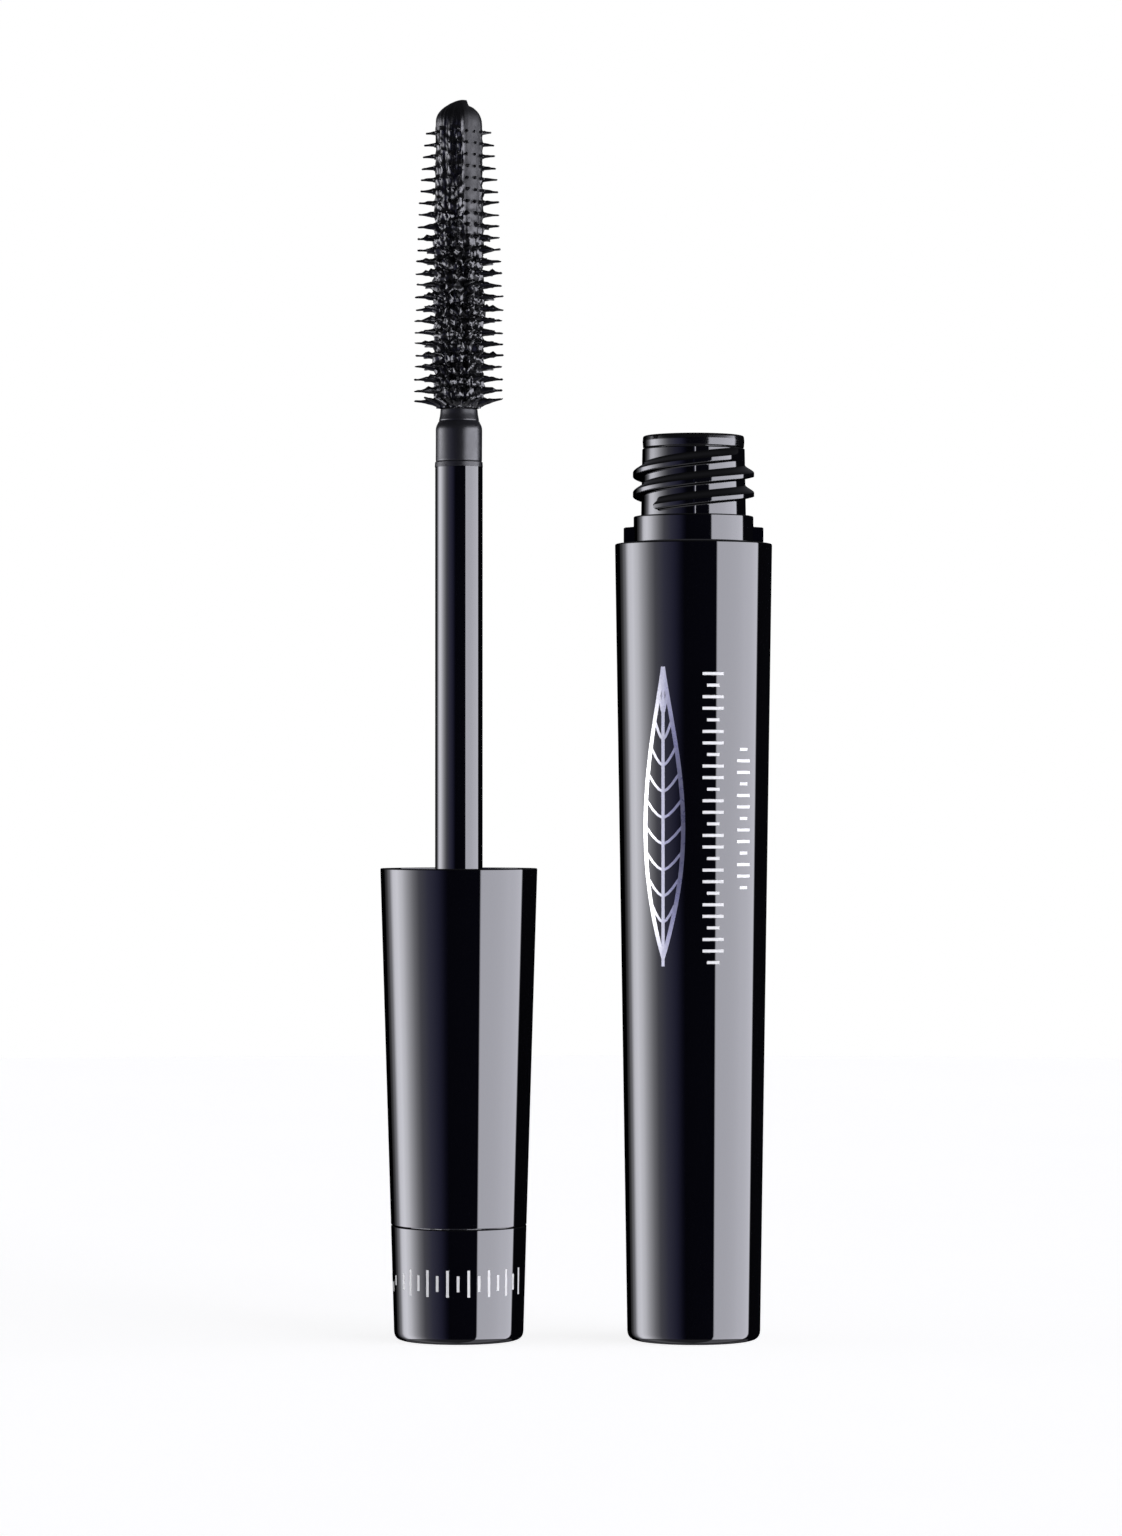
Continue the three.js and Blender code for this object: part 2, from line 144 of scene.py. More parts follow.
def colour_mix(tree, share, first, second):
    """The output of a mix from the first colour to the second. Each is a plain colour or an output."""
    mix = tree.nodes.new("ShaderNodeMix")
    mix.data_type = "RGBA"
    tree.links.new(share, mix.inputs["Factor"])
    for socket, colour in (("A", first), ("B", second)):
        if isinstance(colour, tuple):
            mix.inputs[socket].default_value = (*colour, 1)
        else:
            tree.links.new(colour, mix.inputs[socket])
    return mix.outputs["Result"]


def remap(tree, value, span, result=(0, 1), kind="LINEAR"):
    """The output of a node that maps a value's span onto the span of the result."""
    node = tree.nodes.new("ShaderNodeMapRange")
    node.interpolation_type = kind
    limits = dict(zip(("From Min", "From Max", "To Min", "To Max"), (*span, *result)))
    for socket, limit in limits.items():
        node.inputs[socket].default_value = limit
    tree.links.new(value, node.inputs["Value"])
    return node.outputs["Result"]


def speckle(tree, place, scale, detail, roughness=0.5):
    """The output of a fine cloudy noise laid through the piece."""
    node = tree.nodes.new("ShaderNodeTexNoise")
    node.inputs["Scale"].default_value = scale
    node.inputs["Detail"].default_value = detail
    node.inputs["Roughness"].default_value = roughness
    tree.links.new(place, node.inputs["Vector"])
    return node.outputs["Fac"]


def finish(name, dark, light, rough, grain=300.0, depth=0.0, stretch=(1, 1, 1), plain=None):
    """A moulded finish: two colours and a range of roughness mixed by a grain, and a fine depth.

    plain gives the shader's values that are the same all over the piece, by the socket's name.
    """
    material = bpy.data.materials.new(name)
    material.use_nodes = True
    tree = material.node_tree
    shader = tree.nodes["Principled BSDF"]
    place = tree.nodes.new("ShaderNodeTexCoord")
    mapping = tree.nodes.new("ShaderNodeMapping")
    mapping.inputs["Scale"].default_value = stretch
    tree.links.new(place.outputs["Object"], mapping.inputs["Vector"])
    cloud = speckle(tree, mapping.outputs["Vector"], grain, GRAIN_DETAIL)
    tree.links.new(colour_mix(tree, cloud, dark, light), shader.inputs["Base Color"])
    smudge = speckle(tree, mapping.outputs["Vector"], grain / SMUDGE_SIZE, SMUDGE_DETAIL, SMUDGE_ROUGHNESS)
    tree.links.new(remap(tree, smudge, SMUDGE_SPAN, rough), shader.inputs["Roughness"])
    if depth > 0:
        bump = tree.nodes.new("ShaderNodeBump")
        bump.inputs["Strength"].default_value = 1
        bump.inputs["Distance"].default_value = depth * MM
        tree.links.new(cloud, bump.inputs["Height"])
        tree.links.new(bump.outputs["Normal"], shader.inputs["Normal"])
    for socket, value in (plain or {}).items():
        shader.inputs[socket].default_value = value
    return material


SLEEVE_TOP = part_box("bottle_sleeve")[1].z / MM
SLEEVE_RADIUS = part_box("bottle_sleeve")[1].x / MM
SLEEVE_FOOT = 6.75
SLEEVE_WALL = 0.75
SLEEVE_FLOOR = 1.0
FOOT_ROUND = 0.95
RECESS_INSET = 1.95
RECESS_SLOPE = 0.25
RECESS_DEPTH = 0.25

gloss_black = finish("gloss_black", (0.0006, 0.0006, 0.0008), (0.001, 0.001, 0.0013),
                     rough=(0.015, 0.035), grain=90.0)

sleeve = turned("sleeve_shell", softened([
    (0, RECESS_DEPTH, 0),
    (SLEEVE_FOOT - RECESS_INSET, RECESS_DEPTH, EASED),
    (SLEEVE_FOOT - RECESS_INSET + RECESS_SLOPE, 0, CRISP),
    (SLEEVE_FOOT, 0, FOOT_ROUND),
    (SLEEVE_RADIUS, SLEEVE_TOP, SOFT_LIP),
    (SLEEVE_RADIUS - SLEEVE_WALL, SLEEVE_TOP, 0.12),
    (SLEEVE_FOOT - SLEEVE_WALL, SLEEVE_FLOOR, 0.3),
    (0, SLEEVE_FLOOR, 0),
]), sides=180)
sleeve.data.materials.append(gloss_black)
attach(sleeve, "bottle")
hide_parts("bottle_sleeve")

# ---------------------------------------------------------------------------------------------
# Print on the sleeve. A silver leaf with veins, hot-stamped in foil, and two combs of fine white
# strokes beside it, screen printed. Each lies a few hundredths of a millimetre proud of the gloss.

PRINT_PROUD = 0.03
LEAF_CENTRE = (-3.35, 53.6)
LEAF_HALF_WIDTH = 2.1
LEAF_HALF_LENGTH = 14.6
LEAF_STEPS = 40
LEAF_EDGE = 0.42
VEIN_PAIRS = 9
VEIN_WIDTH = 0.26
VEIN_SPAN = (0.12, 0.84)
VEIN_RISE = 0.06
VEIN_CLEAR = 0.1
STALK_WIDTH = 0.34
STALK_LENGTH = 0.9
STALK_STEPS = 20
STROKE_WIDTH = 0.3
STROKE_GAP = 1.16


def strip(path, width, wall, proud=PRINT_PROUD):
    """Points and faces of a thin band of ink along a path of (across, height), laid on a round wall."""
    path = np.array(path, float)
    along = np.gradient(path, axis=0)
    along /= np.linalg.norm(along, axis=1)[:, None]
    side = np.column_stack((-along[:, 1], along[:, 0])) * width / 2
    points = []
    for left, right in zip(path + side, path - side):
        for across, height, lift in ((*left, -proud), (*right, -proud), (*right, proud), (*left, proud)):
            radius = wall(height) + lift
            azimuth = across / wall(height) - math.pi / 2
            points.append((radius * math.cos(azimuth), radius * math.sin(azimuth), height))
    faces = [[0, 1, 2, 3]]
    for i in range(0, len(points) - 4, 4):
        for k in range(4):
            j = (k + 1) % 4
            faces.append([i + k, i + j, i + 4 + j, i + 4 + k])
    faces.append([len(points) - 4 + k for k in range(4)])
    return points, faces


def gathered(name, parts):
    """One object from several sets of points and faces."""
    points = []
    faces = []
    for some_points, some_faces in parts:
        faces += [[corner + len(points) for corner in face] for face in some_faces]
        points += some_points
    return solid(name, points, faces)


def sleeve_wall(height):
    """Radius of the sleeve's straight taper."""
    return SLEEVE_FOOT + (SLEEVE_RADIUS - SLEEVE_FOOT) * height / SLEEVE_TOP


def leaf_half(share):
    """Half the leaf's width at a share of its length, from the stalk at 0 to the point at 1."""
    return LEAF_HALF_WIDTH * math.sin(math.pi * share ** 0.85) ** 1.1


def leaf_strokes():
    """The leaf's two edges, its veins in pairs, and the stalk up its middle."""
    across = LEAF_CENTRE[0]
    base = LEAF_CENTRE[1] - LEAF_HALF_LENGTH
    length = 2 * LEAF_HALF_LENGTH
    strokes = []
    for side in (-1, 1):
        steps = [i / LEAF_STEPS for i in range(LEAF_STEPS + 1)]
        edge = [(across + side * leaf_half(t), base + length * t) for t in steps]
        strokes.append(strip(edge, LEAF_EDGE, sleeve_wall))
        for pair in range(VEIN_PAIRS):
            share = VEIN_SPAN[0] + (VEIN_SPAN[1] - VEIN_SPAN[0]) * pair / (VEIN_PAIRS - 1)
            tip = leaf_half(share + VEIN_RISE) - VEIN_CLEAR
            vein = []
            for t in (0, 0.3, 0.6, 1):
                vein.append((across + side * tip * t, base + length * (share + VEIN_RISE * t ** 1.5)))
            strokes.append(strip(vein, VEIN_WIDTH, sleeve_wall))
    whole = length + STALK_LENGTH
    stalk = [(across, base - STALK_LENGTH + whole * i / STALK_STEPS) for i in range(STALK_STEPS + 1)]
    strokes.append(strip(stalk, STALK_WIDTH, sleeve_wall))
    return strokes


def comb_strokes(across, low, high, wide, narrow):
    """Short level strokes one above another, a narrow one and then two wide ones."""
    count = int((high - low) / STROKE_GAP)
    strokes = []
    for i in range(count + 1):
        half = (wide if i % 3 else narrow) / 2
        height = low + i * STROKE_GAP
        stroke = [(across - half, height), (across, height), (across + half, height)]
        strokes.append(strip(stroke, STROKE_WIDTH, sleeve_wall))
    return strokes


silver_foil = finish("silver_foil", (0.6, 0.6, 0.57), (0.9, 0.9, 0.86),
                     rough=(0.24, 0.38), grain=4000.0, plain={"Metallic": 1.0})
leaf = gathered("sleeve_leaf_mark", leaf_strokes())
leaf.data.materials.append(silver_foil)
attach(leaf, "bottle")

white_ink = finish("white_ink", (0.72, 0.72, 0.71), (0.82, 0.82, 0.81), rough=(0.45, 0.6), grain=2500.0)
tall_comb = comb_strokes(across=1.8, low=38.5, high=68.6, wide=2.2, narrow=1.3)
short_comb = comb_strokes(across=5.3, low=46.0, high=61.0, wide=1.7, narrow=1.0)
combs = gathered("sleeve_comb_marks", tall_comb + short_comb)
combs.data.materials.append(white_ink)
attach(combs, "bottle")

# ---------------------------------------------------------------------------------------------
# Vial. The bottle that holds the mascara, blow moulded in black with its neck, collar and two lugs.
# The thread on its neck has two starts, cut blunt where they begin, and a fine parting line.

VIAL_FOOT = (5.6, 1.1)
VIAL_SHOULDER = 7.1
HOLLOW_FOOT = (4.65, 2.05)
HOLLOW_TOP = (5.85, 76.5)
NECK_BORE_END = 78.5
NECK_RADIUS = 5.34
NECK_TOP = 90.6
NECK_BORE = 4.4
COLLAR_RADIUS = 6.1
COLLAR_TOP = 83.7
COLLAR_SEAT = 81.1
LUG_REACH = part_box("vial")[1].x / MM
LUG_HALF = 1.1
LUG_TOP = 82.6
LUG_EDGE = 0.08
LUG_ROW = 0.06

# Thread: radius of its crest, rise in one turn, turns of each start, and heights across a ridge.
THREAD_CREST = 6.18
THREAD_LEAD = 4.04
THREAD_TURNS = 1.3
THREAD_PROFILE = (-0.72, -0.45, -0.08, 0.74)
THREAD_FIRST = (math.radians(224), 84.7)
THREAD_RUN_IN = math.radians(5)
THREAD_RUN_OUT = math.radians(40)
THREAD_ROW = 0.035
BLUNT_CREST = 0.35
NECK_DRAFT = math.tan(math.radians(1.0))
PARTING_HEIGHT = 0.05
PARTING_WIDTH = 0.09


def ramp(value, start, end):
    """0 before start, 1 after end, and a smooth rise between them."""
    t = min(1.0, max(0.0, (value - start) / (end - start)))
    return t * t * (3 - 2 * t)


def ridge_share(azimuth, height, first, lead, turns, profile, run_in, run_out):
    """How far a two-start thread stands out at a spot, from 0 on the wall to 1 on its crest.

    The profile gives the heights of its lower foot, the two edges of its crest and its upper foot.
    first is the azimuth and height at which one start begins; the other begins a half turn away.
    """
    middle = profile[2]
    share = 0.0
    for start in range(2):
        turned_by = (azimuth - first[0] - start * math.pi) % (2 * math.pi)
        while turned_by <= turns * 2 * math.pi:
            offset = height - first[1] - turned_by / (2 * math.pi) * lead - middle
            foot, edge = (profile[0], profile[1]) if offset < 0 else (profile[3], profile[2])
            out = offset / (foot - middle)
            away = math.hypot(out, max(0.0, 1 - turned_by / run_in))
            if away < 1:
                crest = BLUNT_CREST
                if away > 0:
                    crest += ((edge - middle) / (foot - middle) - BLUNT_CREST) * out / away
                flank = ramp((1 - away) / (1 - crest), 0, 1)
                share = max(share, flank * min(1.0, (turns * 2 * math.pi - turned_by) / run_out))
            turned_by += 2 * math.pi
    return share


def neck_relief(radius, azimuth, height):
    """The thread on the neck, the two lugs at its foot and the parting line at front and back."""
    if radius == NECK_RADIUS and COLLAR_TOP < height < NECK_TOP:
        share = ridge_share(azimuth, height, THREAD_FIRST, THREAD_LEAD, THREAD_TURNS,
                            THREAD_PROFILE, THREAD_RUN_IN, THREAD_RUN_OUT)
        parting = PARTING_HEIGHT * math.exp(-((math.cos(azimuth) * radius) / PARTING_WIDTH) ** 2)
        wall = radius - (height - COLLAR_TOP) * NECK_DRAFT
        return wall + (THREAD_CREST - wall) * share + parting
    if radius == COLLAR_RADIUS and COLLAR_SEAT < height < LUG_TOP + 0.1:
        across = abs(math.sin(azimuth)) * LUG_REACH
        side = 1 - ramp(across, LUG_HALF - LUG_EDGE, LUG_HALF + LUG_EDGE)
        top = 1 - ramp(height, LUG_TOP - 0.06, LUG_TOP + 0.04)
        return radius + (LUG_REACH - radius) * side * top
    return radius


def spaced(radius, low, high, step):
    """Points straight up a wall of one radius."""
    count = max(1, round((high - low) / step))
    return [(radius, low + (high - low) * i / count) for i in range(count + 1)]


vial_outline = (
    [(0, VIAL_FOOT[1]), VIAL_FOOT, (VIAL_SHOULDER, SLEEVE_TOP - 0.1), (COLLAR_RADIUS, COLLAR_SEAT)]
    + spaced(COLLAR_RADIUS, COLLAR_SEAT + 0.02, LUG_TOP + 0.08, LUG_ROW)
    + softened([
        (COLLAR_RADIUS, LUG_TOP + 0.3, 0),
        (COLLAR_RADIUS, COLLAR_TOP, 0.14),
        (NECK_RADIUS, COLLAR_TOP, 0),
    ])
    + spaced(NECK_RADIUS, COLLAR_TOP + 0.03, NECK_TOP - 0.1, THREAD_ROW)
    + [(NECK_RADIUS - 0.15, NECK_TOP - 0.03), (NECK_RADIUS - 0.22, NECK_TOP), (NECK_BORE, NECK_TOP)]
    + [(NECK_BORE, NECK_BORE_END), HOLLOW_TOP, HOLLOW_FOOT, (0, HOLLOW_FOOT[1])]
)
neck_black = finish("neck_black", (0.0007, 0.0007, 0.0009), (0.0012, 0.0012, 0.0015),
                    rough=(0.03, 0.07), grain=200.0)
vial = turned("vial_and_neck", vial_outline, sides=360, relief=neck_relief)
vial.data.materials.append(neck_black)
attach(vial, "bottle")
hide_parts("vial")

# ---------------------------------------------------------------------------------------------
# Wiper. A soft polyethylene plug pressed into the neck. Its flange sits on the rim, and its cone
# below scrapes the brush and the stem as they are drawn out.

WIPER_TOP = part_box("wiper")[1].z / MM
WIPER_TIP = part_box("wiper")[0].z / MM
WIPER_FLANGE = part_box("wiper")[1].x / MM
WIPER_TUBE = 4.25
WIPER_BORE = 3.6
WIPER_ORIFICE = 2.52
WIPER_LIP = 0.5
WIPER_CONE = 79.5
WIPER_SEAT = NECK_TOP + 0.1

wiper_black = finish("wiper_black", (0.001, 0.001, 0.0012), (0.0018, 0.0018, 0.002),
                     rough=(0.09, 0.16), grain=500.0, depth=0.004)
wiper = turned("wiper_plug", softened([
    (WIPER_ORIFICE, WIPER_TIP, EASED),
    (WIPER_ORIFICE + WIPER_LIP, WIPER_TIP, 0.2),
    (WIPER_TUBE, WIPER_CONE, 0.4),
    (WIPER_TUBE, WIPER_SEAT, 0),
    (WIPER_FLANGE - 0.05, WIPER_SEAT, CRISP),
    (WIPER_FLANGE, WIPER_TOP - 0.55, EASED),
    (WIPER_FLANGE - 0.06, WIPER_TOP, SOFT_LIP),
    (WIPER_BORE + 0.35, WIPER_TOP, EASED),
    (WIPER_BORE, WIPER_TOP - 0.5, 0.2),
    (WIPER_BORE, WIPER_CONE, 0.4),
], closed=True), sides=144, closed=True)
wiper.data.materials.append(wiper_black)
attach(wiper, "bottle")
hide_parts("wiper")

# ---------------------------------------------------------------------------------------------
# Twist knob. The end of the applicator that it stands on, moulded like the sleeve. It carries a
# comb of white strokes for the straight setting and, to its left, a wave for the curled one.

APPLICATOR_X = (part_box("twist_knob")[0].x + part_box("twist_knob")[1].x) / 2 / MM
CAP_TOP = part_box("cap_shell")[1].z / MM
CAP_RADIUS = (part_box("cap_shell")[1].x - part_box("cap_shell")[0].x) / 2 / MM
KNOB_END_RADIUS = 6.54
SEAM = 11.65
SEAM_HALF = 0.06
KNOB_TOP = SEAM - SEAM_HALF
KNOB_ROUND = 0.9
KNOB_WALL = 0.85
KNOB_FLOOR = 1.2
KNOB_RECESS_INSET = 1.85
KNOB_RECESS_DEPTH = 0.2

# Strokes on the knob. They start at angles in degrees to the right of the front.
MARK_HEIGHT = 6.2
MARK_WIDTH = 0.27
COMB_STROKES = 14
COMB_START = -54
COMB_STEP = 9.1
COMB_HALVES = (0.8, 1.35)
WAVE_STROKES = 7
WAVE_START = -114
WAVE_STEP = 7.5
WAVE_SWING = 0.8
WAVE_HALF = 0.5


def cap_wall(height):
    """Radius of the one taper that runs over the knob and the cap shell."""
    return KNOB_END_RADIUS + (CAP_RADIUS + 0.01 - KNOB_END_RADIUS) * height / CAP_TOP


knob = turned("knob_shell", softened([
    (0, KNOB_RECESS_DEPTH, 0),
    (KNOB_END_RADIUS - KNOB_RECESS_INSET, KNOB_RECESS_DEPTH, CRISP),
    (KNOB_END_RADIUS - KNOB_RECESS_INSET + RECESS_SLOPE, 0, CRISP),
    (KNOB_END_RADIUS + 0.02, 0, KNOB_ROUND),
    (cap_wall(KNOB_TOP), KNOB_TOP, CRISP),
    (cap_wall(KNOB_TOP) - KNOB_WALL, KNOB_TOP, CRISP),
    (KNOB_END_RADIUS - KNOB_WALL, KNOB_FLOOR, 0.4),
    (0, KNOB_FLOOR, 0),
]), x=APPLICATOR_X, sides=180)
knob.data.materials.append(gloss_black)
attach(knob, "knob")
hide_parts("twist_knob")


def knob_mark_strokes():
    """Upright strokes round the front, and a wave of short strokes to the left of them."""
    radius = cap_wall(MARK_HEIGHT)
    strokes = []
    for i in range(COMB_STROKES):
        azimuth = math.radians(COMB_START + COMB_STEP * i)
        strokes.append((radius * azimuth, MARK_HEIGHT, COMB_HALVES[i % 2]))
    for i in range(WAVE_STROKES):
        azimuth = math.radians(WAVE_START + WAVE_STEP * i)
        swing = WAVE_SWING * math.sin(2 * math.pi * i / (WAVE_STROKES - 1))
        strokes.append((radius * azimuth, MARK_HEIGHT + swing, WAVE_HALF))
    return [
        strip([(across, height - half), (across, height), (across, height + half)], MARK_WIDTH, cap_wall)
        for across, height, half in strokes
    ]


knob_marks = gathered("knob_marks", knob_mark_strokes())
knob_marks.data.transform(Matrix.Translation((APPLICATOR_X * MM, 0, 0)))
knob_marks.data.materials.append(white_ink)
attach(knob_marks, "knob")

# ---------------------------------------------------------------------------------------------
# Hub, stop ring and clip. The hub snaps into the knob and turns the rod. Its lug runs round until it
# meets the stop ring's tooth, and the spring steel clip behind the web keeps hub and shell together.

hub_plastic = finish("hub_plastic", (0.010, 0.010, 0.011), (0.018, 0.018, 0.020),
                     rough=(0.35, 0.5), grain=900.0, depth=0.01)
spring_steel = finish("spring_steel", (0.42, 0.42, 0.43), (0.56, 0.56, 0.57),
                      rough=(0.22, 0.4), grain=700.0, stretch=(1, 1, 8), plain={"Metallic": 1.0})
for node in ("knob_hub", "stop_ring"):
    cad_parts[node].material_slots[0].material = hub_plastic
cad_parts["retaining_clip"].material_slots[0].material = spring_steel

# ---------------------------------------------------------------------------------------------
# Cap shell. The rest of the applicator's handle, moulded like the sleeve and of the same taper.
# A hair-thin seam parts it from the knob. Its mouth is bored out a little to take the bottle.

SHELL_BASE = SEAM + SEAM_HALF
WEB_HOLE = 3.25
WEB_TOP = 13.4
SHELL_LOWER = 6.2
SHELL_UPPER = 6.95
LEDGE_FOOT = 32.6
LEDGE_TOP = 33.4
RABBET_RADIUS = 7.35
RABBET_FOOT = CAP_TOP - 2.3
RABBET_WALL = CAP_TOP - 2.0

shell = turned("cap_outer", softened([
    (WEB_HOLE, SHELL_BASE, EASED),
    (cap_wall(SHELL_BASE), SHELL_BASE, CRISP),
    (CAP_RADIUS, CAP_TOP, SOFT_LIP),
    (RABBET_RADIUS, CAP_TOP, EASED),
    (RABBET_RADIUS, RABBET_WALL, EASED),
    (SHELL_UPPER, RABBET_FOOT, EASED),
    (SHELL_UPPER, LEDGE_TOP, EASED),
    (SHELL_LOWER, LEDGE_FOOT, EASED),
    (SHELL_LOWER, WEB_TOP, 0.3),
    (WEB_HOLE, WEB_TOP, EASED),
], closed=True), x=APPLICATOR_X, sides=180, closed=True)
shell.data.materials.append(gloss_black)
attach(shell, "cap")
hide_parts("cap_shell")

# ---------------------------------------------------------------------------------------------
# Inner cap. A stiff polypropylene cup pressed into the shell. It holds the stem's flange down, and
# its two inner ridges run on the neck's thread.

INNER_BASE = 33.8
INNER_FLOOR = 35.5
INNER_RADIUS = 6.85
INNER_ROOT = 6.35
INNER_CREST = 5.62
INNER_TOP = 45.4
INNER_ROW = 0.09
CLOSED_LENGTH = 129.0
NECK_THREAD_LEFT = THREAD_FIRST[1] + THREAD_LEAD * (0.5 - THREAD_FIRST[0] / (2 * math.pi))
INNER_THREAD_FIRST = (0.0, CLOSED_LENGTH - NECK_THREAD_LEFT - 1.25 * THREAD_LEAD)
INNER_THREAD_TURNS = 1.0
INNER_THREAD_PROFILE = (-0.47, -0.16, 0.16, 0.47)
INNER_THREAD_RUN = math.radians(30)
STEM_RADIUS = 2.42
STEM_HOLE = STEM_RADIUS + 0.2


def inner_relief(radius, azimuth, height):
    """The two ridges on the inner wall, placed to lie between the neck's when the cap is shut.

    The cap is turned over to shut it, so its right side comes to the neck's left.
    """
    if radius != INNER_ROOT:
        return radius
    share = ridge_share(azimuth, height, INNER_THREAD_FIRST, THREAD_LEAD, INNER_THREAD_TURNS,
                        INNER_THREAD_PROFILE, INNER_THREAD_RUN, INNER_THREAD_RUN)
    return radius - (INNER_ROOT - INNER_CREST) * share


inner_plastic = finish("inner_plastic", (0.008, 0.008, 0.009), (0.014, 0.014, 0.015),
                       rough=(0.25, 0.38), grain=700.0, depth=0.006, plain={"Specular IOR Level": 0.2})
inner_lip = softened([
    (INNER_RADIUS, INNER_TOP - 1, 0),
    (INNER_RADIUS, INNER_TOP, 0.12),
    (INNER_ROOT, INNER_TOP, 0.12),
    (INNER_ROOT, INNER_TOP - 1, 0),
])
inner_outline = (
    [(STEM_HOLE, INNER_BASE), (INNER_RADIUS, INNER_BASE)]
    + inner_lip[1:-1]
    + spaced(INNER_ROOT, INNER_FLOOR, INNER_TOP - 0.35, INNER_ROW)[::-1]
    + [(STEM_HOLE, INNER_FLOOR)]
)
inner_cap = turned("inner_cap_cup", inner_outline, x=APPLICATOR_X, sides=180, closed=True,
                   relief=inner_relief)
inner_cap.data.materials.append(inner_plastic)
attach(inner_cap, "cap")
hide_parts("inner_cap")

# ---------------------------------------------------------------------------------------------
# Gasket. A ring punched from pale closed-cell foam, lying loose on the inner cap's floor. The
# wiper's flange bites into it when the bottle is shut.

GASKET_HOLE = 2.95
GASKET_RADIUS = 5.9
GASKET_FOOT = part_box("cap_gasket")[0].z / MM
GASKET_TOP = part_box("cap_gasket")[1].z / MM
GASKET_ROUND = 0.22

gasket_foam = finish("gasket_foam", (0.5, 0.49, 0.46), (0.64, 0.62, 0.58),
                     rough=(0.7, 0.9), grain=3500.0, depth=0.05)
gasket = turned("foam_gasket", softened([
    (GASKET_HOLE, GASKET_FOOT, EASED),
    (GASKET_RADIUS, GASKET_FOOT, EASED),
    (GASKET_RADIUS, GASKET_TOP, GASKET_ROUND),
    (GASKET_HOLE, GASKET_TOP, GASKET_ROUND),
], closed=True), x=APPLICATOR_X, sides=120, closed=True)
gasket.data.materials.append(gasket_foam)
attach(gasket, "gasket")
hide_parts("cap_gasket")

# ---------------------------------------------------------------------------------------------
# Stem. A glossy black tube moulded round a core pin, with a flange caught under the inner cap and a
# thin spigot at its upper end for the brush. The steel rod and its seal run inside it.

STEM_BASE = 25.5
STEM_TOP = 88.8
STEM_BORE = 1.15
SEAL_POCKET = 1.92
SEAL_POCKET_TOP = 28.0
STEM_FLANGE = 4.6
FLANGE_FOOT = 31.6
FLANGE_TOP = 33.5
SPIGOT_RADIUS = 1.62
SPIGOT_TOP = 92.0

stem_black = finish("stem_black", (0.0006, 0.0006, 0.0008), (0.001, 0.001, 0.0013),
                    rough=(0.03, 0.06), grain=150.0, stretch=(1, 1, 0.2))
stem = turned("stem_tube", softened([
    (SEAL_POCKET, STEM_BASE, 0.05),
    (STEM_RADIUS, STEM_BASE, EASED),
    (STEM_RADIUS, FLANGE_FOOT, EASED),
    (STEM_FLANGE, FLANGE_FOOT, EASED),
    (STEM_FLANGE, FLANGE_TOP, EASED),
    (STEM_RADIUS, FLANGE_TOP, EASED),
    (STEM_RADIUS, STEM_TOP, 0.07),
    (SPIGOT_RADIUS, STEM_TOP, 0.05),
    (SPIGOT_RADIUS, SPIGOT_TOP, EASED),
    (STEM_BORE, SPIGOT_TOP, 0.05),
    (STEM_BORE, SEAL_POCKET_TOP, EASED),
    (SEAL_POCKET, SEAL_POCKET_TOP, 0.05),
], closed=True), x=APPLICATOR_X, sides=120, closed=True)
stem.data.materials.append(stem_black)
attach(stem, "cap")
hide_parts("stem")

seal_rubber = finish("seal_rubber", (0.012, 0.012, 0.013), (0.02, 0.02, 0.021),
                     rough=(0.6, 0.8), grain=1500.0, depth=0.02)
rod_steel = finish("rod_steel", (0.36, 0.36, 0.37), (0.5, 0.5, 0.51),
                   rough=(0.25, 0.4), grain=900.0, stretch=(1, 1, 0.05), plain={"Metallic": 1.0})
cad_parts["rod_seal"].material_slots[0].material = seal_rubber
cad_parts["drive_rod"].material_slots[0].material = rod_steel

# ---------------------------------------------------------------------------------------------
# Brush foot. The plain lower end of the elastomer sleeve, moulded over the spigot: matte dark grey
# where the mascara has been wiped off it, with a soft shoulder and a narrow neck under the bristles.

FOOT_BASE = STEM_TOP - 0.06
FOOT_RADIUS = 2.36
FOOT_LIP = 0.5
FOOT_SHOULDER = 92.8
FOOT_LINE = 93.44
FOOT_NECK = 1.93
FOOT_NECK_START = 94.1
FOOT_TOP = 94.65
FOOT_UNEVEN = 0.05
SPIGOT_HOLE = 1.74
SPIGOT_HOLE_TOP = 92.2
CORE_BORE = 1.0

foot_grey = finish("foot_grey", (0.0035, 0.0035, 0.0045), (0.0075, 0.0075, 0.0095),
                   rough=(0.32, 0.46), grain=1500.0, depth=0.012)


def foot_relief(radius, azimuth, height):
    """The soft sleeve isn't quite round, and sits a little uneven on the spigot."""
    if radius < FOOT_NECK - 0.1:
        return radius
    spot = Vector((math.cos(azimuth), math.sin(azimuth), height * 0.4))
    return radius + FOOT_UNEVEN * noise.noise(spot * 1.3)


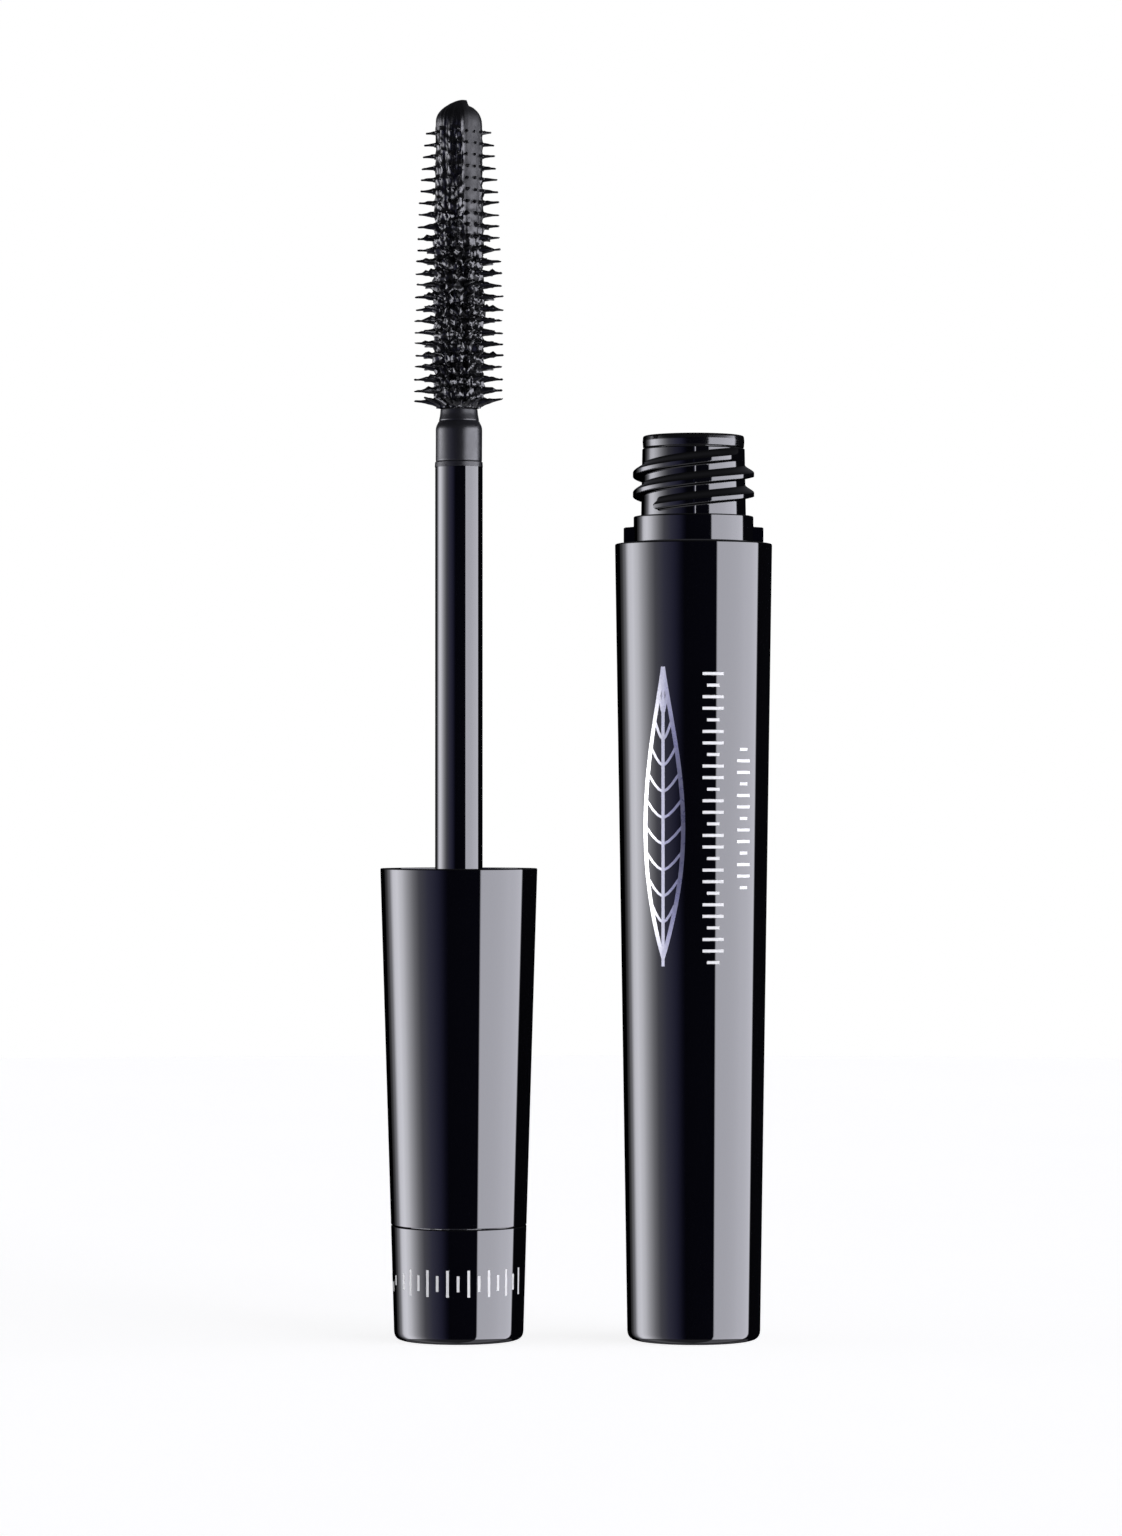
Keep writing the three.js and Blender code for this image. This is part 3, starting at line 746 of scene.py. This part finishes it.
foot = turned("brush_foot", softened([
    (SPIGOT_HOLE, FOOT_BASE, 0),
    (FOOT_RADIUS + 0.09, FOOT_BASE, 0.03),
    (FOOT_RADIUS + 0.06, FOOT_BASE + FOOT_LIP, 0.04),
    (FOOT_RADIUS - 0.04, FOOT_BASE + FOOT_LIP + 0.1, 0.02),
    (FOOT_RADIUS, FOOT_BASE + FOOT_LIP + 0.2, 0.03),
    (FOOT_RADIUS + 0.02, FOOT_SHOULDER, 0.3),
    (FOOT_NECK + 0.17, FOOT_LINE - 0.1, 0.06),
    (FOOT_NECK + 0.1, FOOT_LINE, 0.02),
    (FOOT_NECK + 0.11, FOOT_LINE + 0.1, 0.04),
    (FOOT_NECK, FOOT_NECK_START, 0.15),
    (FOOT_NECK - 0.04, FOOT_TOP, EASED),
    (CORE_BORE, FOOT_TOP, 0),
    (CORE_BORE, SPIGOT_HOLE_TOP, 0),
    (SPIGOT_HOLE, SPIGOT_HOLE_TOP, 0),
], closed=True), x=APPLICATOR_X, sides=96, closed=True, relief=foot_relief)
foot.data.materials.append(foot_grey)
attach(foot, "cap")
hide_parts("brush_ferrule")

# ---------------------------------------------------------------------------------------------
# Brush. A hollow elastomer sleeve with 24 rings of 16 soft points, still wet with mascara. It turns
# bit by bit along its length when the knob is twisted, so it is made in lengths.

CORE = 2.30
CORE_ROW = 0.085
CORE_START = 0.42
ROWS = 24
COLUMNS = 16
ROW_GAP = 1.195
FIRST_ROW = 95.35
LONGEST = 4.53
TAPER = 1.17
TAPER_START = 105.5
COLUMN_LENGTHS = (1.0, 0.72, 0.5, 0.72)
SHORTENING = 0.55
SHORTENING_SPAN = (108, 118)
LENGTHS = 6
RING_GAP = 4 * ROW_GAP
FIRST_RING = FIRST_ROW + 1.5 * ROW_GAP
BRUSH_BASE = FOOT_TOP + 0.08
NOSE_BASE = 123.4
NOSE_TOP = 125.75
LAST_ROW = FIRST_ROW + (ROWS - 1) * ROW_GAP

# The coat of mascara: the heights between which it thins, and how far its kinds of relief stand out.
THIN_COAT = 0.25
THICK_COAT_SPAN = (109, 121)
STREAK = 0.18
CLUMP = 0.30
STRING = 0.16
MOUND = 0.05
WET_MOUND = 0.20

# The side that the wiper left nearly clean: its two edges in degrees, its lower edge, and how much of
# the coat is gone there from the core, the nose and the points.
BARE_LEFT = (-80, -72)
BARE_RIGHT = (-30, -10)
BARE_SPAN = (108, 117)
CORE_WIPED = 0.9
NOSE_WIPED = 0.85
POINTS_WIPED = 0.6
BARE_ROUGHER = 0.3


def longest_reach(height):
    """Full length low down, shorter towards the nose."""
    t = max(0.0, (height - TAPER_START) / (LAST_ROW - TAPER_START))
    return LONGEST - TAPER * (0.6 * t + 0.4 * t ** 6)


def wetness(height):
    """How heavily the coat lies: thin near the nose, thick from the middle down."""
    return THIN_COAT + (1 - THIN_COAT) * (1 - ramp(height, *THICK_COAT_SPAN))


def bareness(azimuth, height):
    """1 on the side of the brush that the wiper left nearly clean, towards the nose."""
    turn = math.degrees(azimuth) % 360 - 360
    across = ramp(turn, *BARE_LEFT) * (1 - ramp(turn, *BARE_RIGHT))
    return across * ramp(height, *BARE_SPAN)


def streaks(x, y, height):
    """Upright ridges of mascara drawn out along the core by the wiper, broad and fine."""
    broad = noise.noise(Vector((x * 2.1, y * 2.1, height * 0.22)))
    fine = noise.noise(Vector((x * 4.4 - 5, y * 4.4, height * 0.5)))
    return broad + 0.5 * fine


def coated(radius, azimuth, height):
    """The core's surface: streaks from the nose down, clumps, strings, and a mound under each point."""
    if radius < CORE - 0.5:
        return radius
    x = math.cos(azimuth) * CORE
    y = math.sin(azimuth) * CORE
    wet = wetness(height)
    streak = streaks(x, y, height)
    clump = noise.noise(Vector((x * 2.0 + 7, y * 2.0, height * 1.7)))
    string = 1 - 2.5 * abs(noise.noise(Vector((x * 1.5 + height * 0.6, y * 1.5 - 3, height * 0.9))))
    spot = (azimuth / (2 * math.pi) * COLUMNS + 0.5) % 1 - 0.5
    level = ((height - FIRST_ROW) / ROW_GAP + 0.5) % 1 - 0.5
    mound = math.exp(-(spot / 0.26) ** 2) * (0.35 + 0.65 * math.exp(-(level / 0.28) ** 2))
    cover = 1 - CORE_WIPED * bareness(azimuth, height)
    lumps = wet * (CLUMP * clump + STRING * string) + (MOUND + WET_MOUND * wet) * mound
    return radius + (STREAK * streak + lumps) * cover


def loft(sections):
    """Points and faces of a closed body through loops of equal length, with both ends capped."""
    size = len(sections[0])
    points = [point for section in sections for point in section]
    faces = [list(range(size))]
    for i in range(len(sections) - 1):
        for k in range(size):
            j = (k + 1) % size
            faces.append([i * size + k, i * size + j, (i + 1) * size + j, (i + 1) * size + k])
    faces.append([len(points) - size + k for k in range(size)])
    return points, faces


BRISTLE_SHARES = (0.0, 0.12, 0.25, 0.4, 0.55, 0.7, 0.85, 0.95, 1.0)
BRISTLE_SIDES = 8
BRISTLE_ROOT = CORE - 0.15
BRISTLE_TIP = 0.10
BRISTLE_TIP_ROUND = 0.45


def bristle(azimuth, height, reach, wet):
    """One tapering point. Wet mascara thickens its foot and hangs on its upper side as a bead."""
    sections = []
    rise = random.uniform(-0.16, 0.1) + (0.3 if height < FIRST_ROW + 0.5 else 0)
    swing = random.uniform(-0.04, 0.04)
    bead_at = random.uniform(0.3, 0.65)
    bead = max(0.0, random.uniform(-0.08, 0.2)) * wet
    coat_end = random.uniform(0.42, 0.66)
    thick = random.uniform(0.7, 1.2)
    for share in BRISTLE_SHARES:
        radius = BRISTLE_ROOT + (reach - BRISTLE_ROOT) * share
        bare = BRISTLE_TIP + 0.1 * (1 - share) ** 1.5
        lump = bead * math.exp(-((share - bead_at) / 0.11) ** 2) + 0.03 * wet * random.uniform(-1, 1)
        film = 0.05 * (1 - ramp(share, coat_end, coat_end + 0.12))
        coat = wet * thick * (film + 0.24 * (1 - share) ** 2.6)
        wide = bare + 0.6 * coat + 0.5 * lump
        tall = bare + coat + 0.09 * math.exp(-(share / 0.14) ** 2) + lump
        if share == 1.0:
            wide *= BRISTLE_TIP_ROUND
            tall *= BRISTLE_TIP_ROUND
        loop = []
        for k in range(BRISTLE_SIDES):
            angle = 2 * math.pi * k / BRISTLE_SIDES
            side = wide * math.cos(angle)
            up = tall * math.sin(angle) + 0.7 * lump + rise * share ** 1.3
            turn = azimuth + swing * share
            loop.append((
                APPLICATOR_X + radius * math.cos(turn) - side * math.sin(turn),
                radius * math.sin(turn) + side * math.cos(turn),
                height + up,
            ))
        sections.append(loop)
    return loft(sections)


random.seed(11)
bristles = []
for row in range(ROWS):
    for column in range(COLUMNS):
        row_height = FIRST_ROW + row * ROW_GAP
        full = longest_reach(row_height)
        length = (full - CORE) * COLUMN_LENGTHS[column % 4] * random.uniform(0.94, 1.03)
        if column % 4:
            length *= 1 - SHORTENING * ramp(row_height, *SHORTENING_SPAN)
        column_azimuth = 2 * math.pi * column / COLUMNS + random.uniform(-0.02, 0.02)
        wiped = POINTS_WIPED * bareness(column_azimuth % (2 * math.pi), row_height)
        damp = wetness(row_height) * (1 - wiped)
        bristles.append((row_height, bristle(column_azimuth, row_height, CORE + length, damp)))

brush_coat = finish("brush_coat", (0.0008, 0.0008, 0.001), (0.002, 0.002, 0.0024),
                    rough=(0.17, 0.36), grain=1600.0, depth=0.02)


def worked_out(tree, operation, *values):
    """The output of one sum or comparison. Each value is a plain number or an output."""
    node = tree.nodes.new("ShaderNodeMath")
    node.operation = operation
    for socket, value in zip(node.inputs, values):
        if isinstance(value, float):
            socket.default_value = value
        else:
            tree.links.new(value, socket)
    return node.outputs[0]


def wiped_finish():
    """Adds roughness where the coat is wiped off and the bare elastomer shows."""
    tree = brush_coat.node_tree
    roughness = tree.nodes["Principled BSDF"].inputs["Roughness"]
    coat_roughness = roughness.links[0].from_socket
    bare = tree.nodes.new("ShaderNodeAttribute")
    bare.attribute_name = "bare"
    rougher = worked_out(tree, "MULTIPLY_ADD", bare.outputs["Fac"], BARE_ROUGHER, coat_roughness)
    tree.links.new(rougher, roughness)


def mark_bare(piece):
    """Writes each point's bareness on a piece of the brush, for its finish."""
    shares = []
    for point in piece.data.vertices:
        x, y, z = point.co / MM
        shares.append(bareness(math.atan2(y, x - APPLICATOR_X), z))
    piece.data.attributes.new("bare", "FLOAT", "POINT").data.foreach_set("value", shares)


wiped_finish()
cuts = [BRUSH_BASE] + [FIRST_RING + ring * RING_GAP for ring in range(LENGTHS)] + [NOSE_BASE]
for length, (low, high) in enumerate(zip(cuts, cuts[1:])):
    wall = spaced(CORE, low, high, CORE_ROW)
    if length == 0:
        wall = [(CORE - CORE_START * (1 - ramp(height, low, low + 0.75)), height) for _, height in wall]
    core = turned_parts([(CORE_BORE, low)] + wall + [(CORE_BORE, high)], x=APPLICATOR_X, sides=180,
                        closed=True, relief=coated)
    points_here = [body for height, body in bristles if low < height < high]
    brush = gathered(f"brush_length_{length + 1}", [core] + points_here)
    mark_bare(brush)
    brush.data.materials.append(brush_coat)
    if length < LENGTHS:
        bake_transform(brush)
        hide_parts(f"brush_ring_{length + 1}")
    else:
        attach(brush, "brush_6")

# ---------------------------------------------------------------------------------------------
# Nose. The closed end of the brush, where the rod's flats drive it. Mascara is dragged up over it
# in a dark smear that ends in a small peak.

NOSE_ROWS = 34
NOSE_HOLLOW = 124.1
SMEAR = 0.5
SMEAR_SPAN = (124.4, 125.5)


def nose_outline():
    """A dome, with the end of the core's bore under it."""
    dome = []
    for i in range(NOSE_ROWS):
        t = math.sin(math.pi / 2 * i / NOSE_ROWS)
        dome.append(((CORE + 0.02) * math.sqrt(1 - t ** 3), NOSE_BASE + (NOSE_TOP - NOSE_BASE) * t))
    return [(0, NOSE_HOLLOW), (CORE_BORE, NOSE_HOLLOW), (CORE_BORE, NOSE_BASE)] + dome + [(0, NOSE_TOP)]


def nose_relief(radius, azimuth, height):
    """Streaks on the dome, which die out towards its middle."""
    if radius <= CORE_BORE and height < NOSE_HOLLOW + 0.1:
        return radius
    x = math.cos(azimuth) * CORE
    y = math.sin(azimuth) * CORE
    cover = 1 - NOSE_WIPED * bareness(azimuth, height)
    return radius + STREAK * streaks(x, y, height) * cover * min(1, radius / CORE)


nose_points, nose_faces = turned_parts(nose_outline(), sides=180, relief=nose_relief)
smeared = []
for x, y, z in nose_points:
    climb = ramp(x, -2.0, 0.75) * (1 - ramp(x, 0.78, 1.0))
    band = math.exp(-((y + 0.55 - 0.2 * x) / 0.75) ** 2)
    smeared.append((x + APPLICATOR_X, y, z + SMEAR * climb * band * ramp(z, *SMEAR_SPAN)))
nose = solid("brush_nose", smeared, nose_faces)
mark_bare(nose)
nose.data.materials.append(brush_coat)
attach(nose, "brush_6")
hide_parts("brush_tip")

# ---------------------------------------------------------------------------------------------
# Studio. A pale floor, a tall soft light to the right with crisp edges, and a wider one to the left
# that fades towards the front, the usual way to light polished black.

FLOOR_RADIUS = 600.0
FLOOR_TOP = -0.02
FLOOR_MIDDLE = -12
floor_outline = [(0, FLOOR_TOP), (FLOOR_RADIUS, FLOOR_TOP)]
floor_points, floor_faces = turned_parts(floor_outline, x=FLOOR_MIDDLE, sides=96)
floor = solid("floor", floor_points, floor_faces)
floor_white = finish("floor_white", (0.78, 0.78, 0.77), (0.82, 0.82, 0.81), rough=(0.6, 0.8), grain=60.0,
                     plain={"Emission Color": (1, 1, 1, 1), "Emission Strength": 0.85})
floor.data.materials.append(floor_white)
floor.visible_glossy = False

# The gloss shows the lights alone: the bottle and the applicator don't mirror each other.
unmirrored = [sleeve, leaf, combs, vial, wiper, knob, knob_marks, shell, inner_cap, gasket, stem, foot]
for piece in unmirrored + list(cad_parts.values()):
    piece.visible_glossy = False

# Turn from the camera's side, in degrees to the right, and the light's red, green and blue there.
LIGHT_STOPS = (
    (-180, 0, 0, 0), (-142, 0, 0, 0), (-132, 0.3, 0.3, 0.32), (-122, 1.6, 1.6, 1.75),
    (-113, 6.6, 6.6, 7.2), (-103, 9, 9, 9.8), (-92, 8.4, 8.4, 9.1), (-82, 5.8, 5.8, 6.3),
    (-70, 2.9, 2.9, 3.2), (-60, 1.25, 1.25, 1.5), (-45, 0.62, 0.62, 1.0), (-30, 0.28, 0.28, 0.58),
    (-20, 0.07, 0.07, 0.17), (-15, 0.02, 0.02, 0.05), (33.2, 0.025, 0.025, 0.06),
    (33.9, 8.6, 8.6, 9.6), (80, 8.6, 8.6, 9.6), (107.8, 7.0, 7.0, 7.8),
    (108.6, 0.01, 0.01, 0.015), (180, 0, 0, 0),
)
BRIGHTEST = 10.0

# How high the lights reach, as sines of the angle above the horizon: from their foot to their head,
# and the span over which the left one dims.
LIGHT_FOOT = math.sin(math.radians(-33))
FOOT_SOFTNESS = 0.01
BELOW_FOOT = 0.12
BELOW_GLOW = (0.03, 0.03, 0.033)
LIGHT_HEAD = math.sin(math.radians(13))
HEAD_SOFTNESS = 0.03
ROOF_GLOW = (0.007, 0.007, 0.008)
LEFT_FADE = (math.sin(math.radians(4.3)), math.sin(math.radians(7.5)))
LEFT_FADED = 0.25


def light_panels(tree, axes):
    """The colour of the lights for each direction round the object."""
    toward = worked_out(tree, "MULTIPLY", axes.outputs["Y"], -1.0)
    turn = worked_out(tree, "ARCTAN2", axes.outputs["X"], toward)
    panels = tree.nodes.new("ShaderNodeValToRGB")
    stops = panels.color_ramp.elements
    for degrees, *colour in LIGHT_STOPS:
        position = (degrees + 180) / 360
        stop = stops[0] if degrees == -180 else stops[-1] if degrees == 180 else stops.new(position)
        stop.position = position
        stop.color = (*(part / BRIGHTEST for part in colour), 1)
    tree.links.new(remap(tree, turn, (-math.pi, math.pi)), panels.inputs["Fac"])
    return panels.outputs["Color"]


world = bpy.data.worlds.new("studio")
bpy.context.scene.world = world
world.use_nodes = True
tree = world.node_tree
tree.nodes.clear()
direction = tree.nodes.new("ShaderNodeTexCoord")
axes = tree.nodes.new("ShaderNodeSeparateXYZ")
tree.links.new(direction.outputs["Generated"], axes.inputs["Vector"])

rise = axes.outputs["Z"]
left_side = worked_out(tree, "LESS_THAN", axes.outputs["X"], 0.0)
left_fade = remap(tree, rise, LEFT_FADE, (0, 1 - LEFT_FADED), "SMOOTHSTEP")
left_dark = worked_out(tree, "MULTIPLY", left_side, left_fade)
faded = colour_mix(tree, left_dark, light_panels(tree, axes), (0, 0, 0))
foot_span = (LIGHT_FOOT - FOOT_SOFTNESS, LIGHT_FOOT + FOOT_SOFTNESS)
above_foot = remap(tree, rise, foot_span, (BELOW_FOOT, 1), "SMOOTHSTEP")
lit = colour_mix(tree, above_foot, BELOW_GLOW, faded)
head_span = (LIGHT_HEAD - HEAD_SOFTNESS, LIGHT_HEAD + HEAD_SOFTNESS)
overhead = remap(tree, rise, head_span, kind="SMOOTHSTEP")
studio = tree.nodes.new("ShaderNodeBackground")
studio.inputs["Strength"].default_value = BRIGHTEST
tree.links.new(colour_mix(tree, overhead, lit, ROOF_GLOW), studio.inputs["Color"])

# The camera sees white paper behind the object instead of the lights.
paper = tree.nodes.new("ShaderNodeBackground")
paper.inputs["Color"].default_value = (1, 1, 1, 1)
seen = tree.nodes.new("ShaderNodeLightPath")
mixed = tree.nodes.new("ShaderNodeMixShader")
tree.links.new(seen.outputs["Is Camera Ray"], mixed.inputs["Fac"])
tree.links.new(studio.outputs["Background"], mixed.inputs[1])
tree.links.new(paper.outputs["Background"], mixed.inputs[2])
output = tree.nodes.new("ShaderNodeOutputWorld")
tree.links.new(mixed.outputs["Shader"], output.inputs["Surface"])

bpy.context.scene.view_settings.view_transform = "Standard"

# Camera: a little above the middle of the bottle, half a metre away, looking up by half a degree.
CAMERA_PLACE = (-13.5, -509, 53.3)
CAMERA_TILT = math.radians(90.54)
CAMERA_LENS = 78.1
SENSOR_HEIGHT = 24

camera_data = bpy.data.cameras.new("camera")
camera_data.sensor_fit = "VERTICAL"
camera_data.sensor_height = SENSOR_HEIGHT
camera_data.lens = CAMERA_LENS
camera = bpy.data.objects.new("camera", camera_data)
camera.location = Vector(CAMERA_PLACE) * MM
camera.rotation_euler = (CAMERA_TILT, 0, 0)
bpy.context.scene.collection.objects.link(camera)
bpy.context.scene.camera = camera
